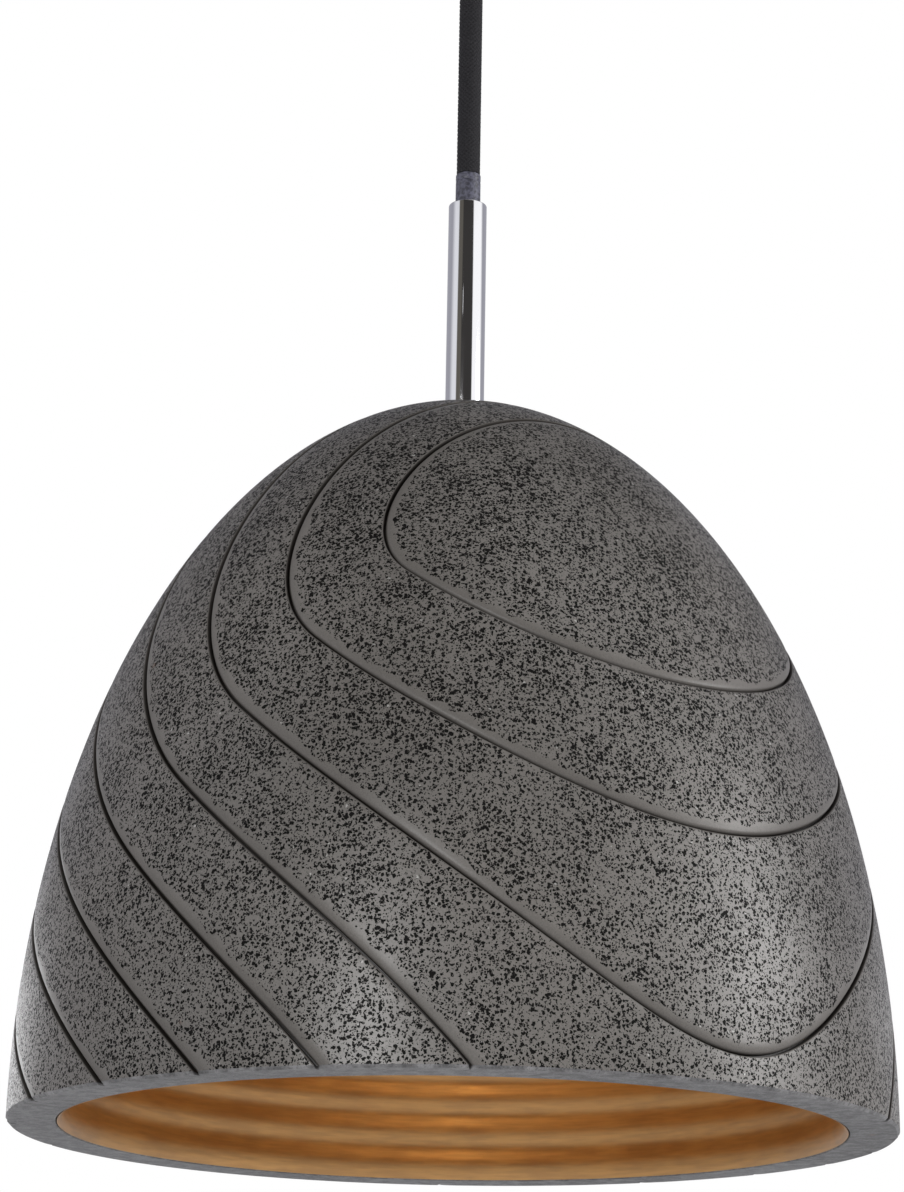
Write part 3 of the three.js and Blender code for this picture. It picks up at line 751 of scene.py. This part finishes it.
def braid(turn, along):
    """Height of the braid from 0 to 1, from an angle and a distance along: two crossing sets of strands."""
    lead = along / (2 * math.pi * CORD_RADIUS / STRANDS)
    a = turn / (2 * math.pi) * STRANDS + lead
    b = turn / (2 * math.pi) * STRANDS - lead
    over = np.where((np.floor(a) + np.floor(b)) % 2 == 0, 1.0, -1.0)
    first = np.abs(np.sin(np.pi * a)) ** 0.7 * (0.8 + 0.2 * over)
    second = np.abs(np.sin(np.pi * b)) ** 0.7 * (0.8 - 0.2 * over)
    return np.maximum(first, second)


def braided_tube(name, top, bottom, round_top):
    """A braided tube down the Z axis. Its top is round, where it bends in the gland's mouth, or flat."""
    flat = [1 - (i / CAP_RINGS) ** 2 for i in range(1, CAP_RINGS + 1)]
    if round_top:
        turns = np.linspace(0, math.pi / 2, CAP_RINGS)
        cap = [(top + CORD_RADIUS * math.sin(a), math.cos(a)) for a in turns]
    else:
        cap = [(top, share) for share in flat]
    rows = cap[:0:-1] + [(z, 1.0) for z in np.arange(top, bottom, -BRAID_STEP)] + [(bottom, 1.0)]
    rows += [(bottom, share) for share in flat]
    turn = np.linspace(0, 2 * math.pi, BRAID_SIDES, endpoint=False)
    points, crown, faces = [], [], []
    for z, share in rows:
        height = braid(turn, z - top)
        radius = (CORD_RADIUS - BRAID_RELIEF * (1 - height)) * max(share, 0.001)
        points += [(r * math.cos(t), r * math.sin(t), z) for r, t in zip(radius, turn)]
        crown += list(height)
    for p in range(0, len(points) - BRAID_SIDES, BRAID_SIDES):
        q = p + BRAID_SIDES
        faces += [(p + k, q + k, q + n, p + n) for k, n in pairs(BRAID_SIDES)]
    last = len(points) - BRAID_SIDES
    points += [(0, 0, rows[0][0]), (0, 0, rows[-1][0])]
    for k, n in pairs(BRAID_SIDES):
        faces.append((len(points) - 2, k, n))
        faces.append((len(points) - 1, last + n, last + k))
    piece = mesh_piece(name, points, faces, finishes["textile_braid"], 70)
    carry(piece, "crown", crown + [0.5, 0.5])
    return piece


def make_cord():
    """The free cord from the gland's mouth to the collar, and its tail inside the cup."""
    bottom = low("cord").z
    free = braided_tube("Braided cord", PIVOT.z, bottom, True)
    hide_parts("cord", "cord_top")
    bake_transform(free)
    tail_foot = PIVOT.z + CORD_RADIUS + 0.3 * MM
    tail = braided_tube("Braided cord tail", high("cord_tail").z, tail_foot, False)
    stands_for(tail, "cord_tail")


# ---- the stem


def make_stem():
    foot, top = heights("stem_tube")
    tube = above(foot, (5.2, 0), (6.1, 0)) + above(top, (6.1, 0), (4.3, 0), (4.3, -1.3), (5.2, -1.3))
    turned("Chrome stem", tube, node="stem_tube")
    ring = above(low("cord_collar").z, (2.9, 0), (4.9, 0)) + above(top, (4.9, -1.6), (4, -1.6))
    ring += above(high("cord_collar").z, (4, -2.6), (3.86, -2.4), (3.86, -2.1), (4, -1.9), (4, 0), (2.9, 0))
    turned("Cord collar", ring, soft=0.2 * MM)


# ---- screws, wires and soft edges


SCREW_SIDES, SCREW_RINGS = 64, 14


def aim(piece, start, direction):
    """Moves a piece's mesh, made along +Z, so that it starts at a point and runs along a direction."""
    turn = Vector(direction).to_track_quat("Z", "Y").to_matrix().to_4x4()
    piece.data.transform(Matrix.Translation(start) @ turn)


def screw(name, size, start, direction, cross=False):
    """A pan-head screw. size is its head's and its shank's radius, its head's height and its reach, and
    start is the underside of its head, all in millimetres. direction is the way its head faces."""
    head, shank, thick, reach = (value * MM for value in size)
    slot = 0.17 * head
    cut_to = 0.62 if cross else 1.0  # how far out the slot runs
    outline = [(0.0, -reach), (shank * 0.7, -reach)]
    pitch = shank * 0.55
    for step in range(int((reach - shank * 0.6) / pitch * 2)):
        outline.append((shank * (0.86 if step % 2 else 1.0), -reach + shank * 0.3 + step * pitch / 2))
    outline += [(shank, -0.05 * MM), (shank, 0.0), (head * 0.94, 0.0), (head, thick * 0.08)]
    points, faces = turned_mesh(outline + [(head, thick * 0.3)], SCREW_SIDES)
    del faces[-SCREW_SIDES:]
    ring = len(points) - SCREW_SIDES
    for share in np.linspace(1, 0, SCREW_RINGS)[1:]:
        for k in range(SCREW_SIDES):
            angle = 2 * math.pi * k / SCREW_SIDES
            x, y = head * share * math.cos(angle), head * share * math.sin(angle)
            height = thick * (0.3 + 0.7 * math.sqrt(1 - share**2.6))
            if min(abs(y), abs(x) if cross else head) < slot and share < cut_to:
                height = min(height, thick * 0.42)
            points.append((x, y, height))
        above_it = ring + SCREW_SIDES
        faces += [[ring + k, ring + n, above_it + n, above_it + k] for k, n in pairs(SCREW_SIDES)]
        ring = above_it
    aim(stand_in(name, points, faces, 28), Vector(start) * MM, direction)


CORE_RADIUS = 0.9 * MM


def smooth_path(points, steps):
    """A smooth curve through points, with that many steps between each two."""
    ends = [2 * points[0] - points[1]] + points + [2 * points[-1] - points[-2]]
    made = []
    for i in range(1, len(ends) - 2):
        a, b, c, d = ends[i - 1 : i + 3]
        for k in range(steps):
            t = k / steps
            made.append(0.5 * (2 * b + (c - a) * t + (2 * a - 5 * b + 4 * c - d) * t**2
                               + (3 * b - a - 3 * c + d) * t**3))
    return made + [points[-1]]


def tube_mesh(path, radius, sides=20):
    """Points and faces of a round wire with rounded ends along a path."""
    first, last = (path[0] - path[1]).normalized(), (path[-1] - path[-2]).normalized()
    rings = [(path[0] + first * radius * 0.3, 0.35), (path[0] + first * radius * 0.2, 0.8)]
    rings += [(p, 1.0) for p in path]
    rings += [(path[-1] + last * radius * 0.2, 0.8), (path[-1] + last * radius * 0.3, 0.35)]
    points, faces = [], []
    side = (path[1] - path[0]).orthogonal().normalized()
    for i, (middle, share) in enumerate(rings):
        ahead = (rings[min(i + 1, len(rings) - 1)][0] - rings[max(i - 1, 0)][0]).normalized()
        side = (side - ahead * side.dot(ahead)).normalized()
        other = ahead.cross(side)
        for k in range(sides):
            angle = 2 * math.pi * k / sides
            points.append(middle + (side * math.cos(angle) + other * math.sin(angle)) * radius * share)
    last_ring = len(points) - sides
    for i in range(0, last_ring, sides):
        faces += [[i + k, i + n, i + sides + n, i + sides + k] for k, n in pairs(sides)]
    faces.append(list(range(sides))[::-1])
    faces.append([last_ring + k for k in range(sides)])
    return points, faces


def wire(name, points):
    """A wire's core, through points in millimetres."""
    path = smooth_path([Vector(p) * MM for p in points], 12)
    stand_in(name, *tube_mesh(path, CORE_RADIUS), sharp=50)


SOFT_EDGES = {
    "mounting_strap": 0.4,
    "terminal_block": 0.4,
    "earth_lug": 0.15,
    "lock_nut": 0.35,
    "holder_nut": 0.35,
    "gland_nut": 0.35,
    "holder_insert": 0.4,
    "holder_earth_tag": 0.15,
    "holder_centre_contact": 0.1,
}


def soften(node, width):
    """Rounds the edges of a flat-sided CAD piece."""
    made = frame["nodes"][node].modifiers.new("Soft edges", "BEVEL")
    made.width, made.segments, made.limit_method = width, 2, "ANGLE"
    made.angle_limit = math.radians(38)
    made.harden_normals = True


# ---- the ceiling fitting


def make_cup():
    radius, foot = 45 * MM, low("canopy_cup").z
    bend = radius - 3 * MM
    outline = above(foot, (5.2, 0)) + arc(bend, foot + 3 * MM, 3 * MM, 3 * MM, 0, 90, 12)
    outline += above(0, (45, -0.35), (44.8, -0.06), (44.4, 0), (44, -0.06), (43.8, -0.35))
    outline += arc(bend, foot + 3.3 * MM, 1.8 * MM, 1.5 * MM, 90, 0, 8) + above(foot, (5.2, 1.5))
    turned("Canopy cup", outline, 160, soft=0)
    for name, side in (("left", -1), ("right", 1)):
        start = (side * 45.15, 0, -8)
        screw(f"canopy screw {name}", (3.6, 1.7, 2, 7.4), start, (side, 0, 0), cross=True)


def make_gland():
    mouth, top = heights("cord_gland")
    shoulder = low("canopy_cup").z - 0.3 * MM
    clamp = shoulder - 12 * MM
    outer, bore, thread = 6.5 * MM, 4.1 * MM, 4.9 * MM

    def shape(radius, height, angle):
        """The thread above the shoulder. Below it, grip ribs, and a flat round the clamp screw."""
        if height > shoulder - 0.2 * MM:
            wave = 0.5 + 0.5 * math.cos(angle + 2 * math.pi * height / MM)
            return radius if radius < thread - 0.2 * MM else radius - 0.22 * MM * wave
        if radius < 6 * MM or height > shoulder - 3.2 * MM or height < mouth + 1.5 * MM:
            return radius
        turn = angle - 2 * math.pi if angle > math.pi else angle
        if math.hypot(turn * outer, height - clamp) < 1.75 * MM:
            return 5.1 * MM
        plain = abs(turn) * outer < 2.6 * MM or height < mouth + 2.2 * MM
        return radius if plain else radius - 0.3 * MM * (0.5 + 0.5 * math.cos(28 * angle)) ** 2

    outline = above(mouth, (5.3, 0), (5.9, 0), (6.5, 0.8))
    outline += [(outer, z) for z in np.arange(mouth + 1.2 * MM, shoulder - 3.1 * MM, 0.2 * MM)]
    outline += above(shoulder, (6.5, -3), (8.3, -2.6), (8.5, -2.3), (8.5, -0.15), (8.35, 0), (4.9, 0))
    outline += [(thread, z) for z in np.arange(shoulder + 0.2 * MM, top - 0.1 * MM, 0.2 * MM)]
    outline += above(top, (4.6, 0), (4.1, 0))
    for a in np.linspace(0, math.pi / 2, 9)[:-1]:
        outline.append((bore + 1.2 * MM * (1 - math.cos(a)), mouth + 3 * MM * (1 - math.sin(a))))
    turned("Cord gland", outline, 224, soft=0, shape=shape)
    screw("Gland clamp screw", (1.4, 1, 0.9, 1.1), (5.25, 0, clamp / MM), (1, 0, 0))


def make_terminals():
    down = (0, 0, -1)
    tube = above(0, (1.3, 0), (2.6, 0), (2.6, 13), (1.3, 13))
    for name, side in (("live", 1), ("neutral", -1)):
        aim(turned(f"Terminal {name}", tube, 40), Vector((5.5, side * 4.5, -8.6)) * MM, (1, 0, 0))
    for i, (x, y) in enumerate(((8.5, 4.5), (15.5, 4.5), (8.5, -4.5), (15.5, -4.5)), 1):
        screw(f"Terminal screw {i}", (1.5, 1, 1.4, 3), (x, y, -12.6), down)
    screw("Block screw", (2.8, 1.3, 2, 14.4), (12, 0, -14.9), down)
    screw("Earth screw", (3.4, 1.6, 2.2, 3), (-13, 0, -3.4), down, cross=True)


def make_ceiling_wiring():
    """The three cores from the cord's tail to their terminals."""
    for name, side in (("live", 1), ("neutral", -1)):
        wire(f"Core {name}", [(1, side * 1.4, -17.7), (0.8, side * 2, -13.7), (0.9, side * 3.8, -10.3),
                              (3, side * 4.5, -8.6), (7, side * 4.5, -8.6)])
    wire("Core earth", [(-1.8, 0, -17.7), (-2, 0, -13.7), (-4.5, 0, -9.2), (-6.6, 0, -6.2), (-6.6, 0, -3.4)])


# ---- the lampholder and the bulb

E27_PITCH = 3.629 * MM


def threaded(depth, first, last):
    """A shape for turned pieces: a rounded screw thread between two heights."""

    def shape(radius, height, angle):
        if not first <= height <= last:
            return radius
        fade = min(1, (height - first) / E27_PITCH, (last - height) / E27_PITCH)
        wave = 0.5 + 0.5 * math.cos(2 * math.pi * height / E27_PITCH + angle)
        return radius - depth * fade * wave

    return shape


def rows_between(radius, first, last, step=0.25 * MM):
    count = max(2, round(abs(last - first) / step))
    return [(radius, z) for z in np.linspace(first, last, count)]


def make_washers():
    for node, outer in (("cushion_washer", 15), ("spreader_washer", 17)):
        foot, top = heights(node)
        ring = above(foot, (5.2, 0), (outer, 0)) + above(top, (outer, 0), (5.2, 0))
        turned(node.replace("_", " "), ring, soft=0.3 * MM)


def ribbed(count, depth, power, least, first, last):
    """A shape for turned pieces: grip ribs between two heights, from the least radius outwards."""

    def shape(radius, height, angle):
        if radius < least or not first <= height <= last:
            return radius
        return radius - depth * (0.5 + 0.5 * math.cos(count * angle)) ** power

    return shape


def make_holder_cap():
    foot, top = heights("holder_cap")
    outline = above(foot, (18, 0), (19.6, 0))
    outline += rows_between(20 * MM, foot + 0.6 * MM, top - 14 * MM, 0.5 * MM)
    outline += above(top, (20, -13.4), (19.6, -12), (18.3, -10.2), (13.6, -7.3), (12, -6.2), (9.4, -5.6),
                     (9, -5), (9, -0.6), (8.5, 0), (5.3, 0), (5.3, -8.4), (10.5, -8.4), (18, -14.4))
    ribs = ribbed(36, 0.45 * MM, 3, 19.5 * MM, foot + 2.2 * MM, top - 14.5 * MM)
    turned("Lampholder cap", outline, 216, soft=0, shape=ribs, node="holder_cap")


def make_holder_body():
    foot, top = heights("holder_body")
    outline = above(foot, (15.4, 0.5), (15.9, 0), (17, 0), (18.1, 0.5), (19.1, 1.6))
    outline += rows_between(19.6 * MM, foot + 3 * MM, top - 0.4 * MM, 0.5 * MM)
    outline += above(top, (19.2, 0), (17.5, 0)) + above(low("holder_insert").z, (17.5, -2), (15.4, -2.3))
    ribs = ribbed(30, 0.4 * MM, 2, 19.4 * MM, foot + 7 * MM, top - 8 * MM)
    turned("Lampholder body", outline, 216, soft=0, shape=ribs, node="holder_body")


def make_holder_shell():
    foot, top = heights("holder_thread_shell")
    outline = above(foot, (14.1, 0), (14.7, 0)) + rows_between(14.7 * MM, foot + 0.2 * MM, top - 0.6 * MM)
    outline += above(top, (14.1, 0), (6, 0), (6, -0.7), (13.5, -0.7))
    outline += rows_between(14.1 * MM, top - 1.2 * MM, foot + 0.2 * MM)
    thread = threaded(0.5 * MM, foot, top - 1 * MM)
    turned("Lampholder screw shell", outline, soft=0, shape=thread, node="holder_thread_shell")
    for name, side in (("live", 1), ("neutral", -1)):
        start = (side * 9, 0, high(f"holder_screw_{name}").z / MM - 2.2)
        screw(f"Holder screw {name}", (2.6, 1.4, 2.2, 6), start, (0, 0, 1))


BULB_BALL = 30 * MM
BULB_NECK = 12.2 * MM


def glass_outline(inset):
    """The bulb's glass from its foot up to its neck, inset by a distance."""
    foot, neck = heights("bulb_glass")
    middle = foot + BULB_BALL
    cap = low("bulb_cap").z
    shoulder = [Vector((BULB_BALL, middle)), Vector((BULB_BALL, middle + 16 * MM)),
                Vector((BULB_NECK, cap - 14 * MM)), Vector((BULB_NECK, cap - 1 * MM))]
    made = arc(0, middle, BULB_BALL, BULB_BALL, 0, 90, 25)[:-1]
    for t in np.linspace(0, 1, 25):
        p = shoulder[0] * (1 - t) ** 3 + shoulder[1] * 3 * (1 - t) ** 2 * t
        made.append(tuple(p + shoulder[2] * 3 * (1 - t) * t**2 + shoulder[3] * t**3))
    made.append((BULB_NECK, neck))
    shrunk = [(0.0, made[0][1] + inset)]
    for i in range(1, len(made)):
        before, after = made[i - 1], made[min(i + 1, len(made) - 1)]
        way = Vector((after[0] - before[0], after[1] - before[1])).normalized()
        shrunk.append((max(0.0, made[i][0] - way.y * inset), made[i][1] + way.x * inset))
    return shrunk


def make_filaments():
    """Four lit rods that lean out towards the foot, each with its two wires to the bulb's middle."""
    middle = low("bulb_glass").z + BULB_BALL
    high_end, low_end = middle + 22 * MM, middle - 8 * MM
    for i in range(4):
        angle = (i + 0.5) * math.pi / 2
        out = Vector((math.cos(angle), math.sin(angle), 0))
        top, foot = out * 5 * MM + Vector((0, 0, high_end)), out * 11 * MM + Vector((0, 0, low_end))
        points, faces = tube_mesh([top.lerp(foot, step / 8) for step in range(9)], 0.85 * MM)
        rod_faces = len(faces)
        for end, hub in ((top, high_end + 3 * MM), (foot, low_end - 1 * MM)):
            hub = Vector((0, 0, hub))
            half_way = end * 0.55 + hub * 0.45 + Vector((0, 0, 1 * MM))
            more, more_faces = tube_mesh(smooth_path([end, half_way, hub + out * 1.2 * MM], 6), 0.2 * MM, 8)
            faces += [[v + len(points) for v in face] for face in more_faces]
            points += more
        piece = stand_in(f"bulb filament {i + 1}", points, faces, 50)
        piece.data.materials.append(finishes["bulb_metal"])
        for polygon in piece.data.polygons[rod_faces:]:
            polygon.material_index = 1


def make_bulb():
    turned("Bulb glass", glass_outline(0) + glass_outline(0.7 * MM)[::-1], soft=0)
    foot, top = heights("bulb_cap")
    outline = above(foot, (12.5, 0.2), (12.7, 0), (13, 0))
    outline += rows_between(13.1 * MM, foot + 0.3 * MM, top - 2 * MM)
    outline += above(top, (12.2, -0.9), (11.5, 0), (6, 0), (6, -0.5), (10.9, -0.6), (12.2, -2.3))
    turned("Bulb cap", outline, soft=0, shape=threaded(0.75 * MM, foot + 2 * MM, top - 1.5 * MM))
    foot, top = heights("bulb_insulator")
    outline = above(foot, (0, 0), (10.5, 0), (8.9, 1.4), (6.6, 2.3)) + above(top, (5.5, 0), (0, 0))
    turned("Bulb insulator", outline, 64)
    foot, top = heights("bulb_contact")
    outline = above(foot, (0, 0), (4.8, 0), (4.5, 0.7)) + above(top, (3.6, -0.1), (0, 0))
    turned("Bulb contact", outline, 48, soft=0.2 * MM)
    foot, top = heights("bulb_stem")
    outline = above(foot, (0, 0), (0.9, 0), (1.4, 0.6))
    outline += above(top, (1.6, -26), (2.2, -21), (3.6, -15), (5.6, -7), (9, -1), (9, 0), (0, 0))
    turned("Bulb stem", outline, 48, soft=0.5 * MM)


# ---- studio


FLOOR_SIZE = 60.0
FLOOR_DROP = 0.6  # below the rim


def make_floor():
    """A large pale floor under the lamp."""
    size, z = FLOOR_SIZE, RIM_Z - FLOOR_DROP
    points = [(-size, -size, z), (size, -size, z), (size, size, z), (-size, size, z)]
    look = Shader("Pale floor", Roughness=0.7)
    look.set(Base_Color=look.mix(look.noise(2, 4), rgb(0.82, 0.82, 0.82), rgb(0.86, 0.86, 0.86)))
    mesh_piece("Floor", points, [(0, 1, 2, 3)], look.material, 35)


DARK_SIDE = rgb(0.055, 0.052, 0.050)
FAR_SIDE = rgb(0.45, 0.45, 0.50)
LEFT_WALL = rgb(1.02, 1.03, 1.07)
RIGHT_WALL = rgb(1.40, 1.40, 1.40)
STAND = rgb(0.15, 0.14, 0.12)
LAMP = rgb(1.2, 1.2, 1.2)
LIGHTS = (  # name, facing, rise, distance, width, height and power
    ("Right box", -10, 13, 1.7, 0.6, 0.6, 13.5),
    ("Front left box", -110, 8, 1.8, 0.5, 0.35, 15),
    ("Back left box", 125, 3, 1.8, 0.8, 0.5, 4),
    ("Back right box", 50, 3, 1.8, 0.8, 0.5, 1),
    ("Top box", -60, 62, 1.6, 0.9, 0.9, 1.5),
)


def make_world():
    """White to the eye. To the lamp it is a studio: dark round the camera, with bright walls on both sides.
    turn is the compass angle in radians: 0 towards the camera, and more to its right."""
    world = bpy.data.worlds.new("Studio")
    world.use_nodes = True
    bpy.context.scene.world = world
    room = Nodes(world.node_tree)
    room.tree.nodes.clear()
    way = room.add("SeparateXYZ", Vector=room.add("TexCoord", output=0))
    east, north, up = way.node.outputs
    turn = room.maths("ARCTAN2", east, room.times(north, -1.0))
    right = room.band(turn, (0.62, 0.74), (1.95, 1.60))
    left = room.band(turn, (-0.88, -1.0), (-1.9, -1.3))
    far = room.ramp(room.maths("ABSOLUTE", turn, 0.0), 1.0, 1.25)
    lamp = room.band(turn, (-0.37, -0.35), (-0.31, -0.33))
    lamp = room.times(lamp, room.band(up, (0.365, 0.37), (0.42, 0.415)))
    walls = room.mix(room.ramp(turn, -0.54, -0.42), STAND, DARK_SIDE)
    for mask, colour in ((lamp, LAMP), (far, FAR_SIDE), (left, LEFT_WALL), (right, RIGHT_WALL)):
        walls = room.mix(mask, walls, colour)
    walls = room.scaled(walls, room.ramp(up, 0.5, 0.85, 1.0, 0.4))
    seen = room.add("LightPath")
    back = room.add("Background", Color=room.mix(seen, walls, rgb(1, 1, 1)))
    room.tree.links.new(back, room.tree.nodes.new("ShaderNodeOutputWorld").inputs["Surface"])


def soft_box(name, facing, rise, distance, width, height, power):
    """An area light round the lamp. facing is its compass angle and rise its height, in degrees."""
    data = bpy.data.lights.new(name, "AREA")
    data.shape = "RECTANGLE"
    data.size, data.size_y, data.energy = width, height, power
    light = bpy.data.objects.new(name, data)
    turn, lift = math.radians(facing), math.radians(rise)
    out = Vector((math.cos(turn) * math.cos(lift), math.sin(turn) * math.cos(lift), math.sin(lift)))
    target = Vector((0, 0, RIM_Z + DOME_HEIGHT / 2))
    light.location = target + out * distance
    light.rotation_euler = out.to_track_quat("Z", "Y").to_euler()
    bpy.context.scene.collection.objects.link(light)


# ---- making everything

make_camera()
for node_name, node_object in frame["nodes"].items():
    node_object.data.materials.clear()
    node_object.data.materials.append(finishes[slot_of[node_name]])
make_cord()
make_shade()
make_lining()
make_stem()
make_cup()
make_gland()
make_terminals()
make_ceiling_wiring()
make_washers()
make_holder_cap()
make_holder_body()
make_holder_shell()
make_bulb()
make_filaments()
for node_name, edge_width in SOFT_EDGES.items():
    soften(node_name, edge_width * MM)
make_floor()
make_world()
for light_settings in LIGHTS:
    soft_box(*light_settings)
